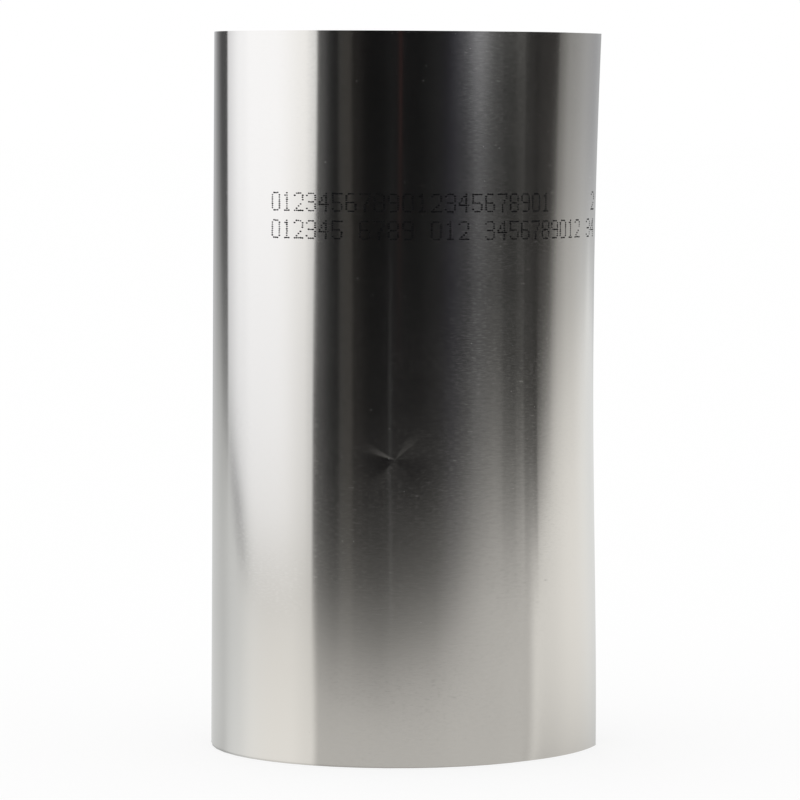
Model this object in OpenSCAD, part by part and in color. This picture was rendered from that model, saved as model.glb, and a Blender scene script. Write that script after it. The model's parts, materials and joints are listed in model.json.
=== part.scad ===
// Roll of thin metal shim stock, standing on its end: one sheet wound into a few loose turns.
// The winding is drawn with half-turn arcs about two centres, so that each turn runs smoothly into the next.

/* [Sheet] */
// Width of the sheet, which is the height of the roll
sheet_w = 150; // [50:1:305]
// Thickness of the sheet
sheet_t = 0.05; // [0.03:0.01:0.15]

/* [Winding] */
// Outside diameter of the roll across its outer turn
roll_d = 78.5; // [60:0.5:120]
// Clear gap between one turn and the next
turn_gap = 0.35; // [0.2:0.05:0.8]
// Whole turns between the outer turn and the innermost one
turns = 4; // [2:1:8]
// Angle of the innermost turn, up to the inner end of the sheet
inner_turn_angle = 275; // [270:5:290]
// Depth to which the gaps between the turns are open at each end of the roll
gap_depth = 5; // [1:0.5:20]

/* [Loose outer end] */
// How much wider the loose end's bend radius is than the roll's
loose_spring = 7.5; // [2:0.5:40]
// Angle that the loose end bends through
loose_angle = 49; // [10:1:60]
// Direction in which the sheet leaves the roll: 0 is the right of the front view, -90 its front
loose_start = -63; // [-90:1:-30]

/* [Hidden] */
$fn = 360;

roll_r = roll_d / 2;
pitch = turn_gap + sheet_t;
half_turns = 2 * turns;
// The winding is drawn with its loose end leaving at angle 0, and turned to loose_start as a whole.
// Its outer turn keeps the full radius for three quarters of a turn, and then starts to wind inwards.
outer_sweep = 270;
step_angle = -outer_sweep;
// Centre of the odd half turns; the even ones turn about the roll's axis
odd_centre = pitch / 2 * direction(step_angle);
loose_r = roll_r + loose_spring;
loose_centre = [-loose_spring, 0];
// The core ends half way into the turns that cover it, outside and inside
core_inset = sheet_t / 2;
core_h = sheet_w - 2 * gap_depth;
// How far a cutter stands out of what it cuts
cut_over = 1;

steel = [0.72, 0.71, 0.69];

function direction(angle) = [cos(angle), sin(angle)];
function half_turn_centre(k) = k % 2 == 0 ? [0, 0] : odd_centre;
function half_turn_radius(k) = roll_r - k * pitch / 2;
function half_turn_start(k) = step_angle - 180 * (k - 1);

// A band from radius r_in to r_out about a centre, turning clockwise from its start, or back for a negative sweep
module band(centre, r_in, r_out, start, sweep, z = 0, height = sheet_w) {
    translate([centre[0], centre[1], z])
        rotate(start)
            rotate_extrude(angle = -sweep)
                translate([r_in, 0])
                    square([r_out - r_in, height]);
}

// The sheet along an arc, with its outer face at radius r
module sheet(centre, r, start, sweep) {
    band(centre, r - sheet_t, r, start, sweep);
}

// The free end of the outer turn, which has sprung away from the roll
module loose_end() {
    sheet(loose_centre, loose_r, 0, -loose_angle);
}

// The turns, from the outer one to the inner end of the sheet
module winding() {
    sheet([0, 0], roll_r, 0, outer_sweep);
    for (k = [1 : half_turns - 1])
        sheet(half_turn_centre(k), half_turn_radius(k), half_turn_start(k), 180);
    sheet([0, 0], half_turn_radius(half_turns), half_turn_start(half_turns), inner_turn_angle);
}

// What lies between the turns, short of the roll's ends
module core() {
    difference() {
        union() {
            band([0, 0], 0, roll_r - core_inset, 0, outer_sweep, gap_depth, core_h);
            band(odd_centre, 0, half_turn_radius(1) - core_inset, half_turn_start(1), 180, gap_depth, core_h);
        }
        translate([0, 0, gap_depth - cut_over])
            cylinder(r = half_turn_radius(half_turns) - core_inset, h = core_h + 2 * cut_over);
    }
}

module shim_roll() {
    color(steel)
        rotate(loose_start) {
            core();
            winding();
            loose_end();
        }
}

shim_roll();
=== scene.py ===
"""Looks of a roll of bright steel shim stock that stands on its end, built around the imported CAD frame.

The sheet is one closed thin shell, worked out with numpy as a function of the wound angle and the height.
Angles on the roll are measured seen from above, from the front (-Y) towards the right (+X).
"""
import json

import bpy
import numpy as np
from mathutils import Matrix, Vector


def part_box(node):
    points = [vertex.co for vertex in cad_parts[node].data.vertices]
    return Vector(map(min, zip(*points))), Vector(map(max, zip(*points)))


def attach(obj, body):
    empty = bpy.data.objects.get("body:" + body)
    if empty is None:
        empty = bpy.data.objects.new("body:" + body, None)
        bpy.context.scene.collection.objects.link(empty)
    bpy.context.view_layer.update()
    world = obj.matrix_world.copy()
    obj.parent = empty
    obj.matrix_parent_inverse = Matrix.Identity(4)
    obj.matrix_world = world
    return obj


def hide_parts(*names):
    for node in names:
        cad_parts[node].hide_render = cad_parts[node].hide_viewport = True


MM = 0.001
FULL_TURN = 360.0
HALF_TURN = 180.0
QUARTER_TURN = 90.0
RANDOM_SEED = 7

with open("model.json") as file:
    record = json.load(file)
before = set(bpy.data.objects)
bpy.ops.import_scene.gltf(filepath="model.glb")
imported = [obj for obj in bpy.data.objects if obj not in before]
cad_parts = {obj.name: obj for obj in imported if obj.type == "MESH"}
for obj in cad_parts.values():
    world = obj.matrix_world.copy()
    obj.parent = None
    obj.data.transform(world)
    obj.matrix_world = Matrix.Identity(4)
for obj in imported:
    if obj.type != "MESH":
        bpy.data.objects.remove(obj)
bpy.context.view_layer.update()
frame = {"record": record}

# Driving sizes from the frame, and the sheet's thickness
roll_low, roll_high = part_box("shim_roll")
bore_mount = next(m for m in frame["record"]["mounts"] if m["name"] == "bore")
steel_slot = frame["record"]["materials"][0]
ROLL_R = roll_high.y
SHEET_W = roll_high.z - roll_low.z
BORE_R = bore_mount["dims"]["r_mm"] * MM
SHEET_T = 0.05 * MM

# Winding, in degrees: the loose end from its tip to the roll, the sweep from there at the roll's full
# radius, and the sweep from there to the inner end; then the turns that step inwards, and their step
FREE_END = 83.9
LOOSE_FROM = 27.0
OUTER_SWEEP = 270.0
WOUND_SWEEP = 1805.0
STEP_FROM = LOOSE_FROM - OUTER_SWEEP
INNER_END = LOOSE_FROM - WOUND_SWEEP
WOUND_TURNS = 4
TURN_PITCH = (ROLL_R - SHEET_T - BORE_R) / WOUND_TURNS

# Loose end: how far it stands off at its tip, and how much further at its upper and lower corners
LOOSE_LIFT = 1.95 * MM
TOP_FLARE = 1.05 * MM
TOP_FLARE_FROM = 97 * MM
TOP_FLARE_POWER = 1.7
FOOT_FLARE = 1.25 * MM
FOOT_FLARE_TO = 85 * MM

# Irregularities of the winding
FOOT_SPLAY = 0.27 * MM
FOOT_SPLAY_TO = 16 * MM
FOOT_SPLAY_ANGLE = -445.0
FOOT_SPLAY_SPAN = 45.0
# Wobble of the covered turns: its size, its sines by share, waves in a turn and phase,
# and the turns over which it sets in
TURN_WOBBLE = 0.07 * MM
WOBBLE_SINES = [(1.0, 1.7, 0.6), (0.6, 4.3, 2.0)]
WOBBLE_FROM_TURN = 0.3
WOBBLE_OVER_TURNS = 0.7
# Flatness error: its size, and its sines by share, waves in a turn, height for a radian, and phase
SHEET_WAVE = 0.012 * MM
WAVE_SINES = [(1.0, 5.0, 31 * MM, 0.0), (0.7, 9.0, -19 * MM, 1.3)]
# The roll leans to the right, and its outer turn has tipped with it about its foot on the right
LEAN = 0.0069
TIP_SLOPE = 0.0058
TIP_FOOT = roll_high.x
# Angle from the free end at which the tipping begins to die out, and over which it does
TIP_ENDS_FROM = 300.0
TIP_ENDS_OVER = 130.0
# How far the covered turns have crept up, one value for each half turn inwards from the free end
TURN_RISE = np.array([0.0, 0.0, 0.0, 0.0, 0.06, 0.15, 0.1, 0.04, 0.13, 0.2, 0.15, 0.1]) * MM

# Dent in the front: its place, its reach, and the slope from its point outwards in each direction,
# counted in degrees from the right by the top, the left and the bottom
DENT_ANGLE = -0.9
DENT_Z = 62.9 * MM
DENT_REACH = 4.6 * MM
DENT_DIRECTIONS = np.array(
    [-90.0, -50.0, -10.0, 5.0, 40.0, 62.0, 148.0, 157.0, 165.0, 171.0, 200.0, 225.0, 250.0]
)
DENT_SLOPES = np.array(
    [0.0, -6.0, -21.0, -24.0, -19.5, 0.0, 0.0, -9.5, -18.0, -18.0, -2.0, 12.0, 5.5]
) / 1000

# Grid of the sheet, in degrees and metres
OUTER_STEP = 1.5
INNER_STEP = 8.0
DENT_STEP = 0.22
DENT_SPAN = 8.0
TIP_STEP = 0.11
TIP_SPAN = 1.4
ROW_STEP = 6.0 * MM
DENT_ROW_STEP = 0.2 * MM
DENT_ROW_SPAN = 6.4 * MM
TIP_ROW_STEP = 0.1 * MM
TIP_ROW_SPAN = 1.0 * MM

# Ink numbers: two lines of digits made of dots, running round from the left of the front
INK_LINES = ["0123456789012345678901      2", "012345 6789 012 3456789012 34"]
INK_FIRST_ANGLE = -41.6
INK_FOOT_Z = np.array([113.4, 107.8]) * MM
INK_CHARACTER = 2.92 * MM
INK_DOT_ACROSS = 0.48 * MM
INK_DOT_UP = 0.44 * MM
INK_DOT_HALF = np.array([0.25, 0.17]) * MM
INK_DOT_SIDES = 8
INK_OVER = 0.006 * MM
INK_UNDER = 0.012 * MM
INK_SHIFT = 0.02 * MM
INK_SIZES = (0.85, 1.15)

# Camera, in metres and degrees
CAMERA_PLACE = (0.84 * MM, -1.0, 0.138)
CAMERA_PITCH = 3.728
CAMERA_LENS = 213.25
CAMERA_REACH = 100.0
SENSOR_WIDTH = 36.0


def smooth_step(t):
    """The smooth step 3t^2 - 2t^3 of t held between 0 and 1."""
    t = np.clip(t, 0.0, 1.0)
    return t * t * (3.0 - 2.0 * t)


def rise(value, begin, over):
    """A smooth step from 0 where a value begins up to 1 over a span."""
    return smooth_step((value - begin) / over)


def fall(value, end, over):
    """A smooth step from 1 down to 0 where a value ends, over the span before it."""
    return smooth_step((end - value) / over)


def window(value, begin, rise_over, end, fall_over):
    """A rise from a beginning times a fall to an end."""
    return rise(value, begin, rise_over) * fall(value, end, fall_over)


def bell(value, place, span):
    """The bell curve exp(-t^2), where t is a value's distance from a place in spans."""
    t = (value - place) / span
    return np.exp(-t * t)


# Shape of the sheet
def wound_radius(angle):
    """Radius of the wound sheet's outer face: the roll's own, then a cosine drop by one pitch in the first
    half of each further turn, with a small sum of two sines once the sheet is covered."""
    turns = np.maximum(STEP_FROM - angle, 0.0) / FULL_TURN
    whole = np.floor(turns)
    part = np.minimum(turns - whole, 0.5)
    drop = whole + 0.5 - 0.5 * np.cos(2.0 * np.pi * part)
    phase = np.radians(angle)
    wobble = sum(share * np.sin(waves * phase + start) for share, waves, start in WOBBLE_SINES)
    covered = rise(turns, WOBBLE_FROM_TURN, WOBBLE_OVER_TURNS)
    return ROLL_R - drop * TURN_PITCH - TURN_WOBBLE * covered * wobble


def loose_lift(angle, z):
    """How far the loose end stands off: it grows with the square of the angle, and more at the two
    corners."""
    past = np.clip((angle - LOOSE_FROM) / (FREE_END - LOOSE_FROM), 0.0, None)
    top = np.clip((z - TOP_FLARE_FROM) / (SHEET_W - TOP_FLARE_FROM), 0.0, None) ** TOP_FLARE_POWER
    foot = smooth_step(1.0 - z / FOOT_FLARE_TO)
    return (LOOSE_LIFT + TOP_FLARE * top + FOOT_FLARE * foot) * past ** 2


def sheet_wave(angle, z):
    """Slight flatness error of the sheet: two long sine waves across each other."""
    phase = np.radians(angle)
    waves = [share * np.sin(rate * phase + z / radian + start) for share, rate, radian, start in WAVE_SINES]
    return SHEET_WAVE * sum(waves)


def dent(angle, z):
    """Height of the dent, which is a pinched cone as in any thin sheet: the distance from its point times a
    slope that depends only on the direction, dying out with the distance. Only the front has it."""
    along = np.radians(angle - DENT_ANGLE) * ROLL_R
    up = z - DENT_Z
    distance = np.hypot(along, up)
    direction = np.degrees(np.arctan2(up, along))
    slope = np.interp(direction, DENT_DIRECTIONS, DENT_SLOPES, period=FULL_TURN)
    return slope * distance * bell(distance, 0.0, DENT_REACH) * (np.abs(angle) < QUARTER_TURN)


def foot_splay(angle, z):
    """How far the second turn bulges out at its foot on the left: a bell along the sheet, dying out
    upwards."""
    along = bell(angle, FOOT_SPLAY_ANGLE, FOOT_SPLAY_SPAN)
    return FOOT_SPLAY * along * smooth_step(1.0 - z / FOOT_SPLAY_TO)


def outer_radius(angle, z):
    """Radius of the sheet's outer face at an angle and a height: the winding's, and what stands off it."""
    stand_off = loose_lift(angle, z) + sheet_wave(angle, z) + dent(angle, z) + foot_splay(angle, z)
    return wound_radius(angle) + stand_off


def tip_height(angle):
    """How high the tipped outer turn stands: a slope times its distance from the foot that it tips on."""
    return TIP_SLOPE * (TIP_FOOT - ROLL_R * np.sin(np.radians(angle)))


def turn_rise(angle):
    """How far the sheet stands above the floor: the outer turn as it is tipped, and the covered turns by
    straight lines between their half turns' values."""
    wound = FREE_END - angle
    crept = np.interp(wound, HALF_TURN * np.arange(len(TURN_RISE)), TURN_RISE)
    covered = rise(wound, TIP_ENDS_FROM, TIP_ENDS_OVER)
    return np.maximum(tip_height(angle), 0.0) * (1.0 - covered) + crept


def around_axis(radius, angle, z):
    """Points at a radius, an angle and a height, as an array of rows x, y, z."""
    phase = np.radians(angle)
    return np.stack([radius * np.sin(phase), -radius * np.cos(phase), z], axis=-1)


def on_roll(over, angle, height):
    """Points that lie over the sheet's outer face at an angle and a height on the sheet: a place around the
    axis, raised as its turn is, and shifted to the right in proportion to its height."""
    points = around_axis(outer_radius(angle, height) + over, angle, height + turn_rise(angle))
    points[..., 0] += LEAN * points[..., 2]
    return points


def even_steps(first, last, step):
    """Values from the first towards the last, which is left out, in even steps of about a size."""
    count = max(1, round(abs(last - first) / step))
    return np.linspace(first, last, count, endpoint=False)


def column_angles():
    """Angles of the grid's columns from the free end inwards, close together at the dent."""
    right, left = DENT_ANGLE + DENT_SPAN, DENT_ANGLE - DENT_SPAN
    return np.concatenate([
        even_steps(FREE_END, right, OUTER_STEP),
        even_steps(right, DENT_ANGLE + TIP_SPAN, DENT_STEP),
        even_steps(DENT_ANGLE + TIP_SPAN, DENT_ANGLE - TIP_SPAN, TIP_STEP),
        even_steps(DENT_ANGLE - TIP_SPAN, left, DENT_STEP),
        even_steps(left, STEP_FROM, OUTER_STEP),
        even_steps(STEP_FROM, INNER_END, INNER_STEP),
        [INNER_END],
    ])


def row_heights():
    """Heights of the grid's rows from the lower edge up, close together at the dent."""
    low, high = DENT_Z - DENT_ROW_SPAN, DENT_Z + DENT_ROW_SPAN
    return np.concatenate([
        even_steps(0.0, low, ROW_STEP),
        even_steps(low, DENT_Z - TIP_ROW_SPAN, DENT_ROW_STEP),
        even_steps(DENT_Z - TIP_ROW_SPAN, DENT_Z + TIP_ROW_SPAN, TIP_ROW_STEP),
        even_steps(DENT_Z + TIP_ROW_SPAN, high, DENT_ROW_STEP),
        even_steps(high, SHEET_W, ROW_STEP),
        [SHEET_W],
    ])


def grid_faces(first, columns, rows):
    """Quads between neighbouring points of a grid whose points are numbered along its rows from first."""
    number = first + np.arange(columns * rows).reshape(columns, rows)
    a, b = number[:-1, :-1], number[1:, :-1]
    c, d = number[1:, 1:], number[:-1, 1:]
    return np.stack([a, b, c, d], axis=-1).reshape(-1, 4)


def mark_hard_edges(mesh, faces, smooth):
    """Marks as sharp each edge of a face that isn't smooth, so that it doesn't bend its neighbours'
    shading."""
    edge_of_corner = np.empty(len(mesh.loops), dtype=np.int32)
    mesh.loops.foreach_get("edge_index", edge_of_corner)
    hard_corner = np.repeat(~smooth, faces.shape[1])
    hard = np.zeros(len(mesh.edges), dtype=bool)
    hard[edge_of_corner[hard_corner]] = True
    mesh.edges.foreach_set("use_edge_sharp", hard)


def mesh_object(name, points, faces, smooth):
    """A mesh object from an array of points and an array of quads, which are smooth or not, all or each."""
    smooth = np.broadcast_to(smooth, len(faces)).copy()
    mesh = bpy.data.meshes.new(name)
    mesh.from_pydata(points.tolist(), [], faces.tolist())
    mesh.polygons.foreach_set("use_smooth", smooth)
    mesh.update()
    mark_hard_edges(mesh, faces, smooth)
    obj = bpy.data.objects.new(name, mesh)
    bpy.context.scene.collection.objects.link(obj)
    return obj


def add_uv(mesh, name, point_uv):
    """A UV map that gives each corner its point's two coordinates."""
    corner_point = np.empty(len(mesh.loops), dtype=np.int32)
    mesh.loops.foreach_get("vertex_index", corner_point)
    layer = mesh.uv_layers.new(name=name)
    layer.data.foreach_set("uv", point_uv[corner_point].ravel())


def make_sheet():
    """The wound sheet: an outer and an inner grid of the same columns and rows, a sheet's thickness apart,
    joined by strips along the two long edges and the two ends. Its UV map holds the width and the length in
    metres."""
    angles = column_angles()
    heights = row_heights()
    columns, rows = len(angles), len(heights)
    angle, height = np.meshgrid(angles, heights, indexing="ij")
    outer = on_roll(0.0, angle, height).reshape(-1, 3)
    inner = on_roll(-SHEET_T, angle, height).reshape(-1, 3)
    points = np.concatenate([outer, inner])
    count = columns * rows
    outer_faces = grid_faces(0, columns, rows)[:, ::-1]
    inner_faces = grid_faces(count, columns, rows)
    number = np.arange(count).reshape(columns, rows)

    def strip(edge):
        """Quads between an edge of the outer grid and the same edge of the inner one."""
        return np.stack([edge[:-1], edge[1:], edge[1:] + count, edge[:-1] + count], axis=-1)

    rim = [strip(number[:, 0]), strip(number[::-1, -1]), strip(number[0, ::-1]), strip(number[-1, :])]
    faces = np.concatenate([outer_faces, inner_faces, *rim])
    smooth = np.arange(len(faces)) < 2 * len(outer_faces)
    obj = mesh_object("shim_sheet", points, faces, smooth)
    length = np.radians(FREE_END - angle) * ROLL_R
    uv = np.stack([height, length], axis=-1).reshape(-1, 2)
    add_uv(obj.data, "width_length", np.concatenate([uv, uv + SHEET_T]))
    return obj


# Ink numbers, on a grid five dots wide and nine high
def stroke(column, row, columns, rows):
    """The dots of a straight stroke on a character's grid, from a column and a row over a count of each."""
    return {(column + i, row + j) for i in range(columns) for j in range(rows)}


FOOT_BAR, MIDDLE_BAR, HEAD_BAR = (stroke(0, row, 5, 1) for row in (0, 4, 8))
LOWER_LEFT, LOWER_RIGHT, UPPER_LEFT, UPPER_RIGHT = (stroke(c, r, 1, 5) for r in (0, 4) for c in (0, 4))
RIGHT_SIDE = LOWER_RIGHT | UPPER_RIGHT
BARS = FOOT_BAR | MIDDLE_BAR | HEAD_BAR
CORNERS = {(0, 0), (4, 0), (0, 8), (4, 8)}
WAIST = {(0, 4), (4, 4)}
DIGITS = {
    " ": set(),
    "0": (FOOT_BAR | HEAD_BAR | LOWER_LEFT | UPPER_LEFT | RIGHT_SIDE) - CORNERS,
    "1": stroke(2, 0, 1, 9) | stroke(1, 0, 3, 1) | stroke(1, 7, 1, 1),
    "2": (HEAD_BAR | UPPER_RIGHT | {(3, 3), (2, 2), (1, 1), (0, 7)} | FOOT_BAR) - {(0, 8), (4, 8), (4, 4)},
    "3": (BARS | RIGHT_SIDE) - CORNERS - WAIST | {(0, 1), (0, 7)},
    "4": stroke(0, 3, 5, 1) | stroke(3, 0, 1, 9) | {(0, 4), (1, 5), (1, 6), (2, 7)},
    "5": (BARS | UPPER_LEFT | LOWER_RIGHT) - {(0, 0), (4, 0), (4, 4)} | {(0, 1)},
    "6": (BARS | UPPER_LEFT | LOWER_LEFT | LOWER_RIGHT) - CORNERS - {(4, 4)},
    "7": HEAD_BAR | {(4, 7), (4, 6), (3, 5), (3, 4), (2, 3), (2, 2), (2, 1), (2, 0)},
    "8": (BARS | LOWER_LEFT | UPPER_LEFT | RIGHT_SIDE) - CORNERS - WAIST,
    "9": (BARS | UPPER_LEFT | RIGHT_SIDE) - CORNERS - {(0, 4)},
}


def ink_dots():
    """Length along the sheet, height and size of every dot: its character's place plus its place on the
    character's grid, each a little off."""
    dots = [
        (line, place, column, row)
        for line, text in enumerate(INK_LINES)
        for place, character in enumerate(text)
        for column, row in sorted(DIGITS[character])
    ]
    line, place, column, row = np.array(dots).T
    chance = np.random.default_rng(RANDOM_SEED)
    off = chance.normal(0.0, INK_SHIFT, (2, len(dots)))
    length = place * INK_CHARACTER + column * INK_DOT_ACROSS + off[0]
    height = INK_FOOT_Z[line] + row * INK_DOT_UP + off[1]
    return length, height, chance.uniform(*INK_SIZES, len(dots))


def make_ink():
    """Dots of ink on the sheet: each is a low eight-sided post that starts within the sheet and ends just
    over it, with each end made of three quads."""
    length, height, size = ink_dots()
    turn = 2.0 * np.pi * np.arange(INK_DOT_SIDES) / INK_DOT_SIDES
    ring_length = length[:, None] + INK_DOT_HALF[0] * size[:, None] * np.cos(turn)
    ring_height = height[:, None] + INK_DOT_HALF[1] * size[:, None] * np.sin(turn)
    angle = INK_FIRST_ANGLE + np.degrees(ring_length / ROLL_R)
    low = on_roll(-INK_UNDER, angle, ring_height)
    high = on_roll(INK_OVER, angle, ring_height)
    points = np.stack([low, high], axis=1).reshape(-1, 3)
    corner = np.arange(INK_DOT_SIDES)
    following = np.roll(corner, -1)
    sides = np.stack([corner, following, following + INK_DOT_SIDES, corner + INK_DOT_SIDES], axis=-1)
    cap = np.array([[0, 1, 2, 3], [0, 3, 4, 7], [4, 5, 6, 7]])
    post = np.concatenate([sides, cap[:, ::-1], cap + INK_DOT_SIDES])
    first = 2 * INK_DOT_SIDES * np.arange(len(length))
    faces = (first[:, None, None] + post).reshape(-1, 4)
    return mesh_object("ink_numbers", points, faces, False)


# Finish: a pattern is the number of its features in a metre along each axis, and its shift;
# a range is the low and high value that become 0 and 1, or the two further numbers
FINE_GRAIN = [(3900.0, 800.0, 1.0)]
COARSE_GRAIN = [(1900.0, 420.0, 1.0), (3.0, 7.0, 0.0)]
COARSE_SHARE = 2.2
GRAIN_DEPTH = 4.2e-7
SCRATCH_LINES = [(4200.0, 850.0, 1.0), (11.0, 5.0, 2.0)]
SCRATCH_RANGE = (0.5, 0.72)
SCRATCH_PATCHES = [(45.0, 28.0, 1.0), (0.0, 2.0, 9.0)]
PATCH_RANGE = (0.3, 0.7, 0.4, 1.0)
SCUFF_DASHES = [(2000.0, 500.0, 1.0), (8.0, 1.0, 6.0)]
DASH_RANGE = (0.42, 0.68)
SCUFF_SHADE = 0.915
# Patch of the front that hands touch: ranges in metres for its beginning and its end along the sheet,
# and for its growth upwards
HANDLED_FROM = (0.019, 0.029, 0.05, 1.0)
HANDLED_TO = (0.066, 0.078, 1.0, 0.05)
HANDLED_UP = (0.025, 0.07, 0.15, 1.0)
# Dust and short scratches: points in a metre along each axis, the chance from which a point is kept,
# the largest disc, and its strength
DUST_SPECKS = ((300.0, 300.0, 1.0), 0.58, 0.021, 0.36)
SHORT_SCRATCHES = ((700.0, 130.0, 1.0), 0.72, 0.08, 0.14)
SMEARS = [(90.0, 60.0, 1.0), (5.0, 1.0, 4.0)]
SMEAR_RANGE = (0.35, 0.75)
SMEAR_DETAIL = 3.0
LOW_DETAIL = 1.0
STEEL_ANISOTROPY = 0.75
# Roughness where the steel is clean and where it is scratched, and what smears and dust add
STEEL_ROUGHNESS = (0.1, 0.15)
SMEAR_ROUGHNESS = 0.02
DUST_ROUGHNESS = 0.6
DUST_METALLIC = 0.9
INK_BLOTCHES = [(2600.0, 2600.0, 2600.0)]
INK_RANGE = (0.45, 0.75)
INK_DARK = (0.002, 0.002, 0.0025)
INK_THIN = (0.012, 0.012, 0.013)
INK_ROUGHNESS = 0.8
INK_SPECULAR = 0.05


class Wiring:
    """Short ways to add and join the nodes of one tree."""

    def __init__(self, tree):
        """Keeps the tree to add to."""
        self.tree = tree

    def add(self, kind, **values):
        """A node of a kind, with its own settings."""
        node = self.tree.nodes.new(kind)
        for name, value in values.items():
            setattr(node, name, value)
        return node

    def feed(self, socket, source):
        """Joins a source to a socket, or sets the socket to a plain value."""
        if isinstance(source, bpy.types.NodeSocket):
            self.tree.links.new(source, socket)
        else:
            socket.default_value = source

    def math(self, operation, first, second):
        """The result of an operation on two values."""
        node = self.add("ShaderNodeMath", operation=operation)
        self.feed(node.inputs[0], first)
        self.feed(node.inputs[1], second)
        return node.outputs[0]

    def stretched(self, place, scale, shift=(0.0, 0.0, 0.0)):
        """A place times a scale for each axis, plus a shift."""
        node = self.add("ShaderNodeMapping")
        self.feed(node.inputs["Vector"], place)
        node.inputs["Scale"].default_value = scale
        node.inputs["Location"].default_value = shift
        return node.outputs["Vector"]

    def noise(self, place, pattern, detail=2.0):
        """Smooth noise at a place that a pattern's scale and shift have stretched."""
        node = self.add("ShaderNodeTexNoise")
        self.feed(node.inputs["Vector"], self.stretched(place, *pattern))
        node.inputs["Scale"].default_value = 1.0
        node.inputs["Detail"].default_value = detail
        return node.outputs["Fac"]

    def ramp(self, value, low, high, to_low=0.0, to_high=1.0):
        """A value's range carried to another range, and held there."""
        node = self.add("ShaderNodeMapRange")
        self.feed(node.inputs["Value"], value)
        ends = {"From Min": low, "From Max": high, "To Min": to_low, "To Max": to_high}
        for name, number in ends.items():
            node.inputs[name].default_value = number
        return node.outputs["Result"]

    def colour_mix(self, factor, first, second):
        """A mix of two plain colours by a factor."""
        node = self.add("ShaderNodeMix", data_type="RGBA")
        self.feed(node.inputs["Factor"], factor)
        colours = [socket for socket in node.inputs if socket.type == "RGBA"]
        for socket, colour in zip(colours, (first, second)):
            socket.default_value = (*colour, 1.0)
        return next(socket for socket in node.outputs if socket.type == "RGBA")


# Materials
def new_material(name):
    """A material with its wiring and its Principled shader."""
    material = bpy.data.materials.new(name)
    material.use_nodes = True
    return material, Wiring(material.node_tree), material.node_tree.nodes["Principled BSDF"]


def stage_material(name):
    """An empty material with its wiring and its output's surface; what shines in it isn't a lamp."""
    material = bpy.data.materials.new(name)
    material.use_nodes = True
    material.node_tree.nodes.clear()
    material.cycles.emission_sampling = "NONE"
    wiring = Wiring(material.node_tree)
    return material, wiring, wiring.add("ShaderNodeOutputMaterial").inputs["Surface"]


def new_group(name, outputs):
    """A node group that takes a place and puts out named values, with its wiring, the place and the
    result."""
    group = bpy.data.node_groups.new(name, "ShaderNodeTree")
    group.interface.new_socket("Place", in_out="INPUT", socket_type="NodeSocketVector")
    for socket_name in outputs:
        group.interface.new_socket(socket_name, in_out="OUTPUT", socket_type="NodeSocketFloat")
    wiring = Wiring(group)
    place = wiring.add("NodeGroupInput").outputs["Place"]
    return group, wiring, place, wiring.add("NodeGroupOutput")


def rolled_grain_group():
    """Rolling grain that runs along the sheet: streaks of two sizes as a height, patches of fine
    scratches, and dull scuffs, which are dense in the patch of the front that hands touch."""
    group, wiring, place, result = new_group("rolled_grain", ["Height", "Scratches", "Scuffs"])
    fine = wiring.noise(place, FINE_GRAIN)
    coarse = wiring.noise(place, COARSE_GRAIN)
    height = wiring.math("ADD", wiring.math("MULTIPLY", coarse, COARSE_SHARE), fine)
    lines = wiring.ramp(wiring.noise(place, SCRATCH_LINES, LOW_DETAIL), *SCRATCH_RANGE)
    patches = wiring.ramp(wiring.noise(place, SCRATCH_PATCHES, LOW_DETAIL), *PATCH_RANGE)
    axes = wiring.add("ShaderNodeSeparateXYZ")
    wiring.feed(axes.inputs["Vector"], place)
    up, along = axes.outputs["X"], axes.outputs["Y"]
    across = wiring.math("MULTIPLY", wiring.ramp(along, *HANDLED_FROM), wiring.ramp(along, *HANDLED_TO))
    handled = wiring.math("MULTIPLY", across, wiring.ramp(up, *HANDLED_UP))
    dashes = wiring.ramp(wiring.noise(place, SCUFF_DASHES), *DASH_RANGE)
    wiring.feed(result.inputs["Height"], height)
    wiring.feed(result.inputs["Scratches"], wiring.math("MULTIPLY", lines, patches))
    wiring.feed(result.inputs["Scuffs"], wiring.math("MULTIPLY", dashes, handled))
    return group


def dust_group():
    """Specks of dust and short scratches: small discs about scattered points, of which only some are
    kept, and the same drawn out along the sheet and fainter."""
    group, wiring, place, result = new_group("dust", ["Specks"])

    def scattered(scale, kept_from, largest, strength):
        """Discs about the points of a stretched grid: one chance of a point gives its disc's size, and
        another its strength."""
        points = wiring.add("ShaderNodeTexVoronoi", voronoi_dimensions="2D")
        wiring.feed(points.inputs["Vector"], wiring.stretched(place, scale))
        points.inputs["Scale"].default_value = 1.0
        chance = wiring.add("ShaderNodeSeparateColor")
        wiring.feed(chance.inputs["Color"], points.outputs["Color"])
        size = wiring.ramp(chance.outputs["Red"], kept_from, 1.0, 0.0, largest)
        disc = wiring.math("LESS_THAN", points.outputs["Distance"], size)
        return wiring.math("MULTIPLY", disc, wiring.math("MULTIPLY", chance.outputs["Green"], strength))

    specks = scattered(*DUST_SPECKS)
    scratches = scattered(*SHORT_SCRATCHES)
    wiring.feed(result.inputs["Specks"], wiring.math("MAXIMUM", specks, scratches))
    return group


def place_group(wiring, group, place):
    """A node that uses a group at a place."""
    node = wiring.add("ShaderNodeGroup", node_tree=group)
    wiring.feed(node.inputs["Place"], place)
    return node


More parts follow.
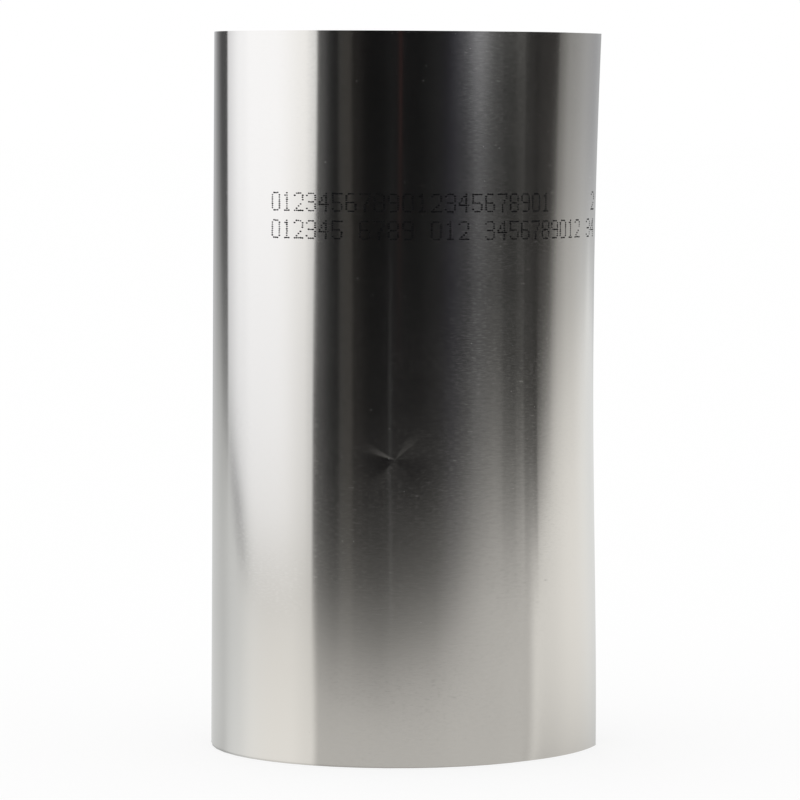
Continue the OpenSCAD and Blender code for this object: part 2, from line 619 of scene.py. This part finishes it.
def steel_material():
    """Bright rolled steel: a metal that blurs mirrored things along the sheet's width, across the rolling
    grain. Scratches and smears make it rougher in places, scuffs make it darker, and dust lies on it as
    dull specks."""
    material, wiring, shader = new_material("bright_steel")
    shader.inputs["Anisotropic"].default_value = STEEL_ANISOTROPY
    tangent = wiring.add("ShaderNodeTangent", direction_type="UV_MAP", uv_map="width_length")
    wiring.feed(shader.inputs["Tangent"], tangent.outputs["Tangent"])
    place = wiring.add("ShaderNodeUVMap", uv_map="width_length").outputs["UV"]
    grain = place_group(wiring, rolled_grain_group(), place)
    specks = place_group(wiring, dust_group(), place).outputs["Specks"]
    smears = wiring.ramp(wiring.noise(place, SMEARS, SMEAR_DETAIL), *SMEAR_RANGE)
    scratched = wiring.ramp(grain.outputs["Scratches"], 0.0, 1.0, *STEEL_ROUGHNESS)
    smeared = wiring.math("ADD", scratched, wiring.math("MULTIPLY", smears, SMEAR_ROUGHNESS))
    dusty = wiring.math("ADD", smeared, wiring.math("MULTIPLY", specks, DUST_ROUGHNESS))
    wiring.feed(shader.inputs["Roughness"], dusty)
    wiring.feed(shader.inputs["Metallic"], wiring.ramp(specks, 0.0, 1.0, 1.0, DUST_METALLIC))
    steel = np.array(steel_slot["base_color"])
    colour = wiring.colour_mix(grain.outputs["Scuffs"], steel, SCUFF_SHADE * steel)
    wiring.feed(shader.inputs["Base Color"], colour)
    bump = wiring.add("ShaderNodeBump")
    bump.inputs["Strength"].default_value = 1.0
    bump.inputs["Distance"].default_value = GRAIN_DEPTH
    wiring.feed(bump.inputs["Height"], grain.outputs["Height"])
    wiring.feed(shader.inputs["Normal"], bump.outputs["Normal"])
    return material


def ink_material():
    """Flat black ink, a little thin in places."""
    material, wiring, shader = new_material("black_ink")
    place = wiring.add("ShaderNodeTexCoord").outputs["Object"]
    thin = wiring.ramp(wiring.noise(place, INK_BLOTCHES), *INK_RANGE)
    wiring.feed(shader.inputs["Base Color"], wiring.colour_mix(thin, INK_DARK, INK_THIN))
    shader.inputs["Roughness"].default_value = INK_ROUGHNESS
    shader.inputs["Specular IOR Level"].default_value = INK_SPECULAR
    return material


# Studio: how often mirrored light is followed, which shows in the bore and behind the loose end
MIRRORINGS = 12
# Distance from the camera to the roll's front, and the surround's sizes, in metres
MIRROR_D = -CAMERA_PLACE[1] - ROLL_R
WALL_R = 1.4
WALL_TOP = 1.2
FLOOR_Z = -0.05 * MM
# Light level of the floor within the bore, and the steps of the search for a mirroring place
BORE_FLOOR_LEVEL = 0.4
HALVINGS = 24
# Grid of the surround: columns, rows of its floor and wall, how the wall's rows spread, and where it starts
SURROUND_COLUMNS = 721
SURROUND_FLOOR_ROWS = 140
SURROUND_WALL_ROWS = 90
WALL_ROW_POWER = 1.6
NEAREST_R = 1.001 * ROLL_R
# White floor: its grid, its colour, and the share of its own light that the camera sees
FLOOR_COLUMNS = 97
FLOOR_RADII = np.array([0.0, 0.1, 0.3, 1.0, 3.0, 12.0])
FLOOR_WHITE = (0.99, 0.99, 0.99, 1.0)
FLOOR_OWN_LIGHT = 0.75

# Light levels that the sheet mirrors, of the wall and then of the floor, going round from the back by
# the left, the front and the right: where each stretch begins, in degrees from the front, its level,
# and the angle over which it blends with the one before
WALL_LEVELS = [
    (-180.0, 0.51, 1.0),
    (-145.5, 0.085, 20.0),
    (-127.0, 0.90, 2.0),
    (-119.0, 1.22, 18.0),
    (-105.0, 1.30, 10.0),
    (-66.0, 1.15, 30.0),
    (-54.0, 0.99, 6.0),
    (-48.4, 0.12, 1.4),
    (-43.0, 0.032, 8.0),
    (-38.5, 0.019, 4.0),
    (-34.8, 0.052, 1.6),
    (-26.5, 0.018, 2.5),
    (-20.0, 0.008, 6.0),
    (-6.0, 0.0115, 6.0),
    (6.0, 0.0085, 8.0),
    (21.0, 0.018, 16.0),
    (34.0, 0.034, 14.0),
    (46.5, 0.0585, 9.0),
    (58.0, 0.041, 13.0),
    (89.0, 0.032, 6.0),
    (108.5, 0.15, 3.0),
    (115.0, 0.29, 12.0),
    (131.0, 0.40, 20.0),
    (165.0, 0.51, 28.0),
]
FLOOR_LEVELS = [
    (-180.0, 0.76, 1.0),
    (-142.0, 0.73, 12.0),
    (-126.0, 0.85, 20.0),
    (-108.0, 0.97, 20.0),
    (-62.0, 0.90, 14.0),
    (-50.5, 0.595, 6.0),
    (30.0, 0.61, 20.0),
    (68.0, 0.62, 10.0),
    (87.0, 0.90, 8.0),
    (110.0, 0.97, 20.0),
    (146.0, 0.89, 20.0),
    (170.0, 0.76, 18.0),
]
# Azimuth, the mirror height in mm at which the wall has half given way to the floor, and how softly it does
FOOT_FADES = np.array([
    (-180.0, 85.0, 15.0),
    (-155.0, 72.0, 18.0),
    (-141.0, 90.0, 22.0),
    (-134.0, 80.0, 12.0),
    (-128.0, 76.0, 9.0),
    (-118.0, 56.0, 7.0),
    (-96.0, 50.0, 7.0),
    (-55.0, 46.0, 7.0),
    (-50.0, 29.0, 8.5),
    (-40.0, 26.0, 8.0),
    (-10.0, 23.5, 8.0),
    (24.0, 28.0, 8.5),
    (37.0, 34.0, 9.5),
    (50.0, 43.0, 12.0),
    (62.0, 52.0, 12.0),
    (73.0, 51.0, 8.0),
    (83.0, 49.5, 6.0),
    (91.5, 46.5, 5.5),
    (92.3, 52.5, 7.0),
    (102.3, 67.0, 9.5),
    (106.5, 77.0, 14.0),
    (116.0, 82.0, 15.0),
    (127.0, 87.0, 16.0),
    (143.0, 94.5, 9.5),
    (152.0, 103.5, 4.5),
    (180.0, 85.0, 15.0),
])
# How much quicker that is below the half-way height, and the limit of the exponent
FADE_QUICKER_BELOW = 1.5
FADE_LIMIT = 40.0
# Azimuth, and the wall's red and blue there relative to its green
WALL_TINTS = np.array([
    (-180.0, 0.99, 1.03),
    (-78.0, 1.00, 1.02),
    (-57.0, 1.01, 0.99),
    (-37.0, 1.00, 1.00),
    (-30.0, 1.05, 0.91),
    (-23.0, 1.07, 0.95),
    (-14.0, 0.99, 1.02),
    (25.0, 0.99, 1.03),
    (33.0, 1.00, 1.20),
    (44.0, 0.99, 1.08),
    (74.0, 1.00, 0.97),
    (102.0, 1.055, 0.957),
    (116.0, 1.01, 0.97),
    (155.0, 0.99, 1.03),
])
# Tint of the floor in front and at the sides, and where the sides set in
FLOOR_TINT = np.array([1.024, 1.0, 0.955])
SIDE_FLOOR_TINT = np.array([0.99, 1.0, 0.992])
SIDE_FLOOR_LEFT = (-76.0, 50.0)
SIDE_FLOOR_RIGHT = (122.0, 36.0)
# Upright strips on the right: where each begins, in degrees, the share of the light that it keeps, and
# the angle over which it blends with the one before; they set in upwards from a height in mm
STRIPS = [
    (40.0, 1.0, 1.0),
    (67.5, 0.76, 2.0),
    (76.5, 1.1, 2.0),
    (80.0, 1.42, 3.0),
    (82.2, 0.92, 0.8),
    (89.5, 0.82, 1.5),
    (92.0, 1.0, 1.0),
]
STRIPS_UP = (32.0, 28.0)

# What follows changes the levels; azimuths are in degrees and mirror heights in mm.
# A rise or fall is a place and a span, a window is a rise and a fall, and a bell is a place and a span
BACK_FALL = (180.0, 24.0)
# Panel on the left, whose light falls off downwards, more towards the front, and whose front edge drifts
PANEL = (-130.0, 6.0, -44.0, 6.0)
PANEL_DOWN = (146.0, 76.0)
PANEL_LOSS = 0.115
PANEL_FRONT_LOSS = 0.1
PANEL_FRONT = (-75.0, 20.0)
PANEL_EDGE = (-50.0, 9.0)
PANEL_EDGE_DRIFT = 4.8
# Glow at the top on the right, a narrow one and a wide one, by a power of the height over where it begins
GLOW_FROM = 95.0
GLOW_OVER = 55.0
GLOW_HIGHEST = 1.5
NARROW_GLOW = 0.144
NARROW_GLOW_PLACE = (53.5, 7.0)
NARROW_GLOW_POWER = 2.5
WIDE_GLOW = 0.04
WIDE_GLOW_WINDOW = (32.0, 14.0, 88.0, 12.0)
WIDE_GLOW_POWER = 4
# Painted shade of the floor near the roll: what it loses upwards on the left,
# and the roll's painted shadow towards it on the right and far left
LEFT_LOSS = 0.1
LEFT_LOSS_TO = (-44.0, 10.0)
LEFT_LOSS_UP = (0.0, 36.0)
RIGHT_ROLL_SHADOW = 0.3
RIGHT_ROLL_SHADOW_FROM = (78.0, 20.0)
FAR_LEFT_ROLL_SHADOW = 0.13
FAR_LEFT_ROLL_SHADOW_TO = (-126.0, 10.0)
NEAR_ROLL = 15.0
# Shade in the gap under the tipped turn, and how soft its edge is
GAP_SHADE = 0.24
GAP_EDGE = 0.2
# Dark line in the painted reflection along the foot of the panel, which bends up towards the back
# and is deepest at one place
DARK_LINE_WINDOW = (-140.0, 8.0, -48.0, 6.0)
DARK_LINE_Z = 39.0
DARK_LINE_BEND = 0.0168
DARK_LINE_BEND_FROM = -84.0
DARK_LINE_SPAN = 6.8
DARK_LINE_DEPTH = 0.18
DARK_LINE_DEEPER = 0.66
DARK_LINE_DEEPEST = (-115.0, 10.0)
# A thin red line high up in front, and a thin pale one lower down
THREAD_LEVEL = 0.036
THREAD_TINT = np.array([1.0, 0.28, 0.22])
THREAD_PLACE = (2.9, 0.75)
THREAD_UP = (90.0, 55.0)
PALE_LINE_LEVEL = 0.034
PALE_LINE_PLACE = (-3.2, 0.8)
PALE_LINE_WINDOW = (22.0, 14.0, 110.0, 25.0)


def around(azimuth, stretches):
    """Value at an azimuth: the first stretch's, plus a smooth step to each further one's at its
    beginning."""
    value = np.full_like(azimuth, stretches[0][1])
    for before, (begin, level, blend) in zip(stretches, stretches[1:]):
        value = value + (level - before[1]) * smooth_step((azimuth - begin) / blend + 0.5)
    return value


def between(azimuth, rows):
    """The two values that a table's rows give at an azimuth, by straight lines between them."""
    return [np.interp(azimuth, rows[:, 0], rows[:, k]) for k in (1, 2)]


def mirror_azimuth(radius, angle):
    """Azimuth in which the roll mirrors a point to a far camera in front, and how far it is from the
    mirroring place. That place lies at half the azimuth, so half of it solves
    radius * sin(2 * half - angle) = roll radius * sin(half), which is found by halving. It is held at the
    place where the azimuth is straight behind."""
    side = np.sign(angle)
    target = np.radians(np.abs(angle))
    low, high = 0.5 * target, target
    for _ in range(HALVINGS):
        half = 0.5 * (low + high)
        too_far = radius * np.sin(2.0 * half - target) > ROLL_R * np.sin(half)
        low = np.where(too_far, low, half)
        high = np.where(too_far, half, high)
    half = np.minimum(0.5 * (low + high), 0.5 * np.pi)
    distance = radius * np.cos(2.0 * half - target) - ROLL_R * np.cos(half)
    return side * 2.0 * half, np.maximum(distance, 0.0)


def short_of_back(azimuth):
    """One all round, falling smoothly to nothing straight behind."""
    return fall(np.abs(azimuth), *BACK_FALL)


def wall_level(azimuth, height):
    """Brightness of the wall: its level round about, with a panel on the left whose light falls off
    downwards and whose front edge drifts, and a narrow and a wide glow at the top on the right."""
    down = fall(height, *PANEL_DOWN)
    high = np.clip((height - GLOW_FROM) / GLOW_OVER, 0.0, GLOW_HIGHEST)
    level = around(azimuth + PANEL_EDGE_DRIFT * down * bell(azimuth, *PANEL_EDGE), WALL_LEVELS)
    loss = PANEL_LOSS + PANEL_FRONT_LOSS * rise(azimuth, *PANEL_FRONT)
    level = level * (1.0 - window(azimuth, *PANEL) * down * loss)
    level = level + NARROW_GLOW * bell(azimuth, *NARROW_GLOW_PLACE) * high ** NARROW_GLOW_POWER
    return level + WIDE_GLOW * window(azimuth, *WIDE_GLOW_WINDOW) * high ** WIDE_GLOW_POWER


def floor_level(azimuth, height):
    """Brightness of the floor: its level round about, rising towards the roll on the left, falling towards
    it on the right and at the far left as the roll's painted shadow, with a darker strip of painted shade
    for the gap under the tipped turn."""
    level = around(azimuth, FLOOR_LEVELS)
    upwards = LEFT_LOSS * fall(azimuth, *LEFT_LOSS_TO) * rise(height, *LEFT_LOSS_UP)
    right = RIGHT_ROLL_SHADOW * rise(azimuth, *RIGHT_ROLL_SHADOW_FROM)
    far_left = FAR_LEFT_ROLL_SHADOW * fall(azimuth, *FAR_LEFT_ROLL_SHADOW_TO)
    # painted shadow of the roll on the floor near it, and painted shade away from it on the left
    loss = (upwards + (right + far_left) * np.exp(-height / NEAR_ROLL)) * short_of_back(azimuth)
    gap_top = tip_height(0.5 * azimuth) / MM
    in_gap = smooth_step((gap_top - height) / GAP_EDGE + 0.5)
    return level * (1.0 - loss) * (1.0 - GAP_SHADE * in_gap)


def floor_share(azimuth, height):
    """How far the wall has given way to the floor: an S-curve 1 / (1 + exp(t)) of the height over the
    half-way height, which is quicker below it."""
    half_way, softness = between(azimuth, FOOT_FADES)
    over = (height - half_way) / softness
    over = np.where(over < 0.0, FADE_QUICKER_BELOW * over, over)
    return 1.0 / (1.0 + np.exp(np.clip(over, -FADE_LIMIT, FADE_LIMIT)))


def dark_line_light(azimuth, height):
    """Share of the painted light that the dark line leaves: a bell about its height, which grows with the
    square of the azimuth past a place."""
    dark_line_z = DARK_LINE_Z + DARK_LINE_BEND * np.maximum(DARK_LINE_BEND_FROM - azimuth, 0.0) ** 2
    depth = DARK_LINE_DEPTH + DARK_LINE_DEEPER * bell(azimuth, *DARK_LINE_DEEPEST)
    return 1.0 - window(azimuth, *DARK_LINE_WINDOW) * depth * bell(height, dark_line_z, DARK_LINE_SPAN)


def painted_reflection_colour(azimuth, mirror_z):
    """Colour of the painted reflection: the wall's, giving way to the floor's towards the foot of the wall,
    with a dark line along the foot of the panel on the left, upright strips on the right, and a red and a
    pale line."""
    height = mirror_z / MM
    share = floor_share(azimuth, height)
    dark_line = dark_line_light(azimuth, height)
    red, blue = between(azimuth, WALL_TINTS)
    wall_tint = np.stack([red, np.ones_like(red), blue], axis=-1)
    wall = (wall_level(azimuth, height) * (1.0 - share) * dark_line)[..., None] * wall_tint
    aside = (fall(azimuth, *SIDE_FLOOR_LEFT) + rise(azimuth, *SIDE_FLOOR_RIGHT))[..., None]
    floor_tint = FLOOR_TINT + (SIDE_FLOOR_TINT - FLOOR_TINT) * aside
    floor = (floor_level(azimuth, height) * share * dark_line)[..., None] * floor_tint
    strip = 1.0 + (around(azimuth, STRIPS) - 1.0) * rise(height, *STRIPS_UP)
    thread = THREAD_LEVEL * bell(azimuth, *THREAD_PLACE) * rise(height, *THREAD_UP)
    pale_line = PALE_LINE_LEVEL * bell(azimuth, *PALE_LINE_PLACE) * window(height, *PALE_LINE_WINDOW)
    return (wall + floor) * strip[..., None] + thread[..., None] * THREAD_TINT + pale_line[..., None]


def glow_material():
    """Painted reflection: the surround's own light, in the colours that its points hold; it glows though it
    is no lamp.
    """
    material, wiring, surface = stage_material("painted_reflection_glow")
    colours = wiring.add("ShaderNodeAttribute", attribute_name="glow")
    emission = wiring.add("ShaderNodeEmission")
    wiring.feed(emission.inputs["Color"], colours.outputs["Color"])
    wiring.feed(surface, emission.outputs["Emission"])
    return material


def make_painted_reflection():
    """Painted reflection for the bright sheet to mirror: a round floor and wall about the roll, which glow
    though they are no lamp. The colour at a point follows the azimuth and the height on the roll at which
    the camera sees it mirrored; the whole surround leans as the roll does. Only mirrored rays see it."""
    azimuths = np.linspace(-HALF_TURN, HALF_TURN, SURROUND_COLUMNS)
    floor_radii = np.concatenate([[0.0, BORE_R], np.geomspace(NEAREST_R, WALL_R, SURROUND_FLOOR_ROWS)])
    wall_heights = WALL_TOP * np.linspace(0.0, 1.0, SURROUND_WALL_ROWS + 1)[1:] ** WALL_ROW_POWER
    radii = np.concatenate([floor_radii, np.full(len(wall_heights), WALL_R)])
    heights = np.concatenate([np.zeros(len(floor_radii)), wall_heights])
    angle, radius = np.meshgrid(azimuths, radii, indexing="ij")
    z = np.broadcast_to(heights, radius.shape)
    points = around_axis(radius, angle, z + FLOOR_Z).reshape(-1, 3)
    faces = grid_faces(0, len(azimuths), len(radii))
    azimuth, distance = mirror_azimuth(np.maximum(radius, NEAREST_R), angle)
    mirror_z = (z * MIRROR_D + distance * CAMERA_PLACE[2]) / (MIRROR_D + distance)
    across = np.sin(0.5 * azimuth) + LEAN * mirror_z / ROLL_R * short_of_back(np.degrees(azimuth))
    upright = np.degrees(2.0 * np.arcsin(np.clip(across, -1.0, 1.0)))
    in_bore = (radius < ROLL_R)[..., None]
    colour = np.where(in_bore, BORE_FLOOR_LEVEL * FLOOR_TINT, painted_reflection_colour(upright, mirror_z))
    colour = colour.reshape(-1, 3)
    # painted reflection: a glowing mesh that is no lamp, seen only in the steel
    obj = mesh_object("painted_reflection_surround", points, faces, True)
    glow = obj.data.color_attributes.new("glow", "FLOAT_COLOR", "POINT")
    glow.data.foreach_set("color", np.concatenate([colour, np.ones((len(colour), 1))], axis=1).ravel())
    obj.data.materials.append(glow_material())
    obj.visible_camera = False
    obj.visible_diffuse = False
    obj.visible_transmission = False
    obj.visible_volume_scatter = False
    obj.visible_shadow = False
    return obj


def floor_material():
    """Matt white, of which the camera sees a share as white light, so that the roll's shadow is faint."""
    material, wiring, surface = stage_material("white_floor")
    diffuse = wiring.add("ShaderNodeBsdfDiffuse")
    diffuse.inputs["Color"].default_value = FLOOR_WHITE
    emission = wiring.add("ShaderNodeEmission")
    seen = wiring.add("ShaderNodeLightPath").outputs["Is Camera Ray"]
    mix = wiring.add("ShaderNodeMixShader")
    wiring.feed(mix.inputs["Fac"], wiring.math("MULTIPLY", seen, FLOOR_OWN_LIGHT))
    wiring.feed(mix.inputs[1], diffuse.outputs["BSDF"])
    wiring.feed(mix.inputs[2], emission.outputs["Emission"])
    wiring.feed(surface, mix.outputs["Shader"])
    return material


def make_floor():
    """A plain white floor: a flat disc from a grid of angles and radii, which mirrored rays don't see."""
    angles = np.linspace(-HALF_TURN, HALF_TURN, FLOOR_COLUMNS)
    angle, radius = np.meshgrid(angles, FLOOR_RADII, indexing="ij")
    points = around_axis(radius, angle, np.zeros_like(radius)).reshape(-1, 3)
    obj = mesh_object("floor", points, grid_faces(0, len(angles), len(FLOOR_RADII)), False)
    obj.data.materials.append(floor_material())
    obj.visible_glossy = False
    return obj


def make_camera():
    """The camera in front of the roll, pitched down a little."""
    camera = bpy.data.cameras.new("camera")
    camera.lens = CAMERA_LENS
    camera.sensor_width = SENSOR_WIDTH
    camera.clip_end = CAMERA_REACH
    obj = bpy.data.objects.new("camera", camera)
    obj.location = CAMERA_PLACE
    obj.rotation_euler = (np.radians(QUARTER_TURN - CAMERA_PITCH), 0.0, 0.0)
    bpy.context.scene.collection.objects.link(obj)
    bpy.context.scene.camera = obj


def make_world():
    """Even white light from all round."""
    world = bpy.data.worlds.new("white_studio")
    world.use_nodes = True
    background = world.node_tree.nodes["Background"]
    background.inputs["Color"].default_value = (1.0, 1.0, 1.0, 1.0)
    background.inputs["Strength"].default_value = 1.0
    bpy.context.scene.world = world


bpy.context.scene.view_settings.view_transform = "Standard"
bpy.context.scene.cycles.glossy_bounces = MIRRORINGS
make_camera()
make_world()
make_floor()
# painted reflection for the steel to mirror
make_painted_reflection()

sheet = make_sheet()
sheet.data.materials.append(steel_material())
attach(sheet, "root")
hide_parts("shim_roll")

ink = make_ink()
ink.data.materials.append(ink_material())
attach(ink, "root")
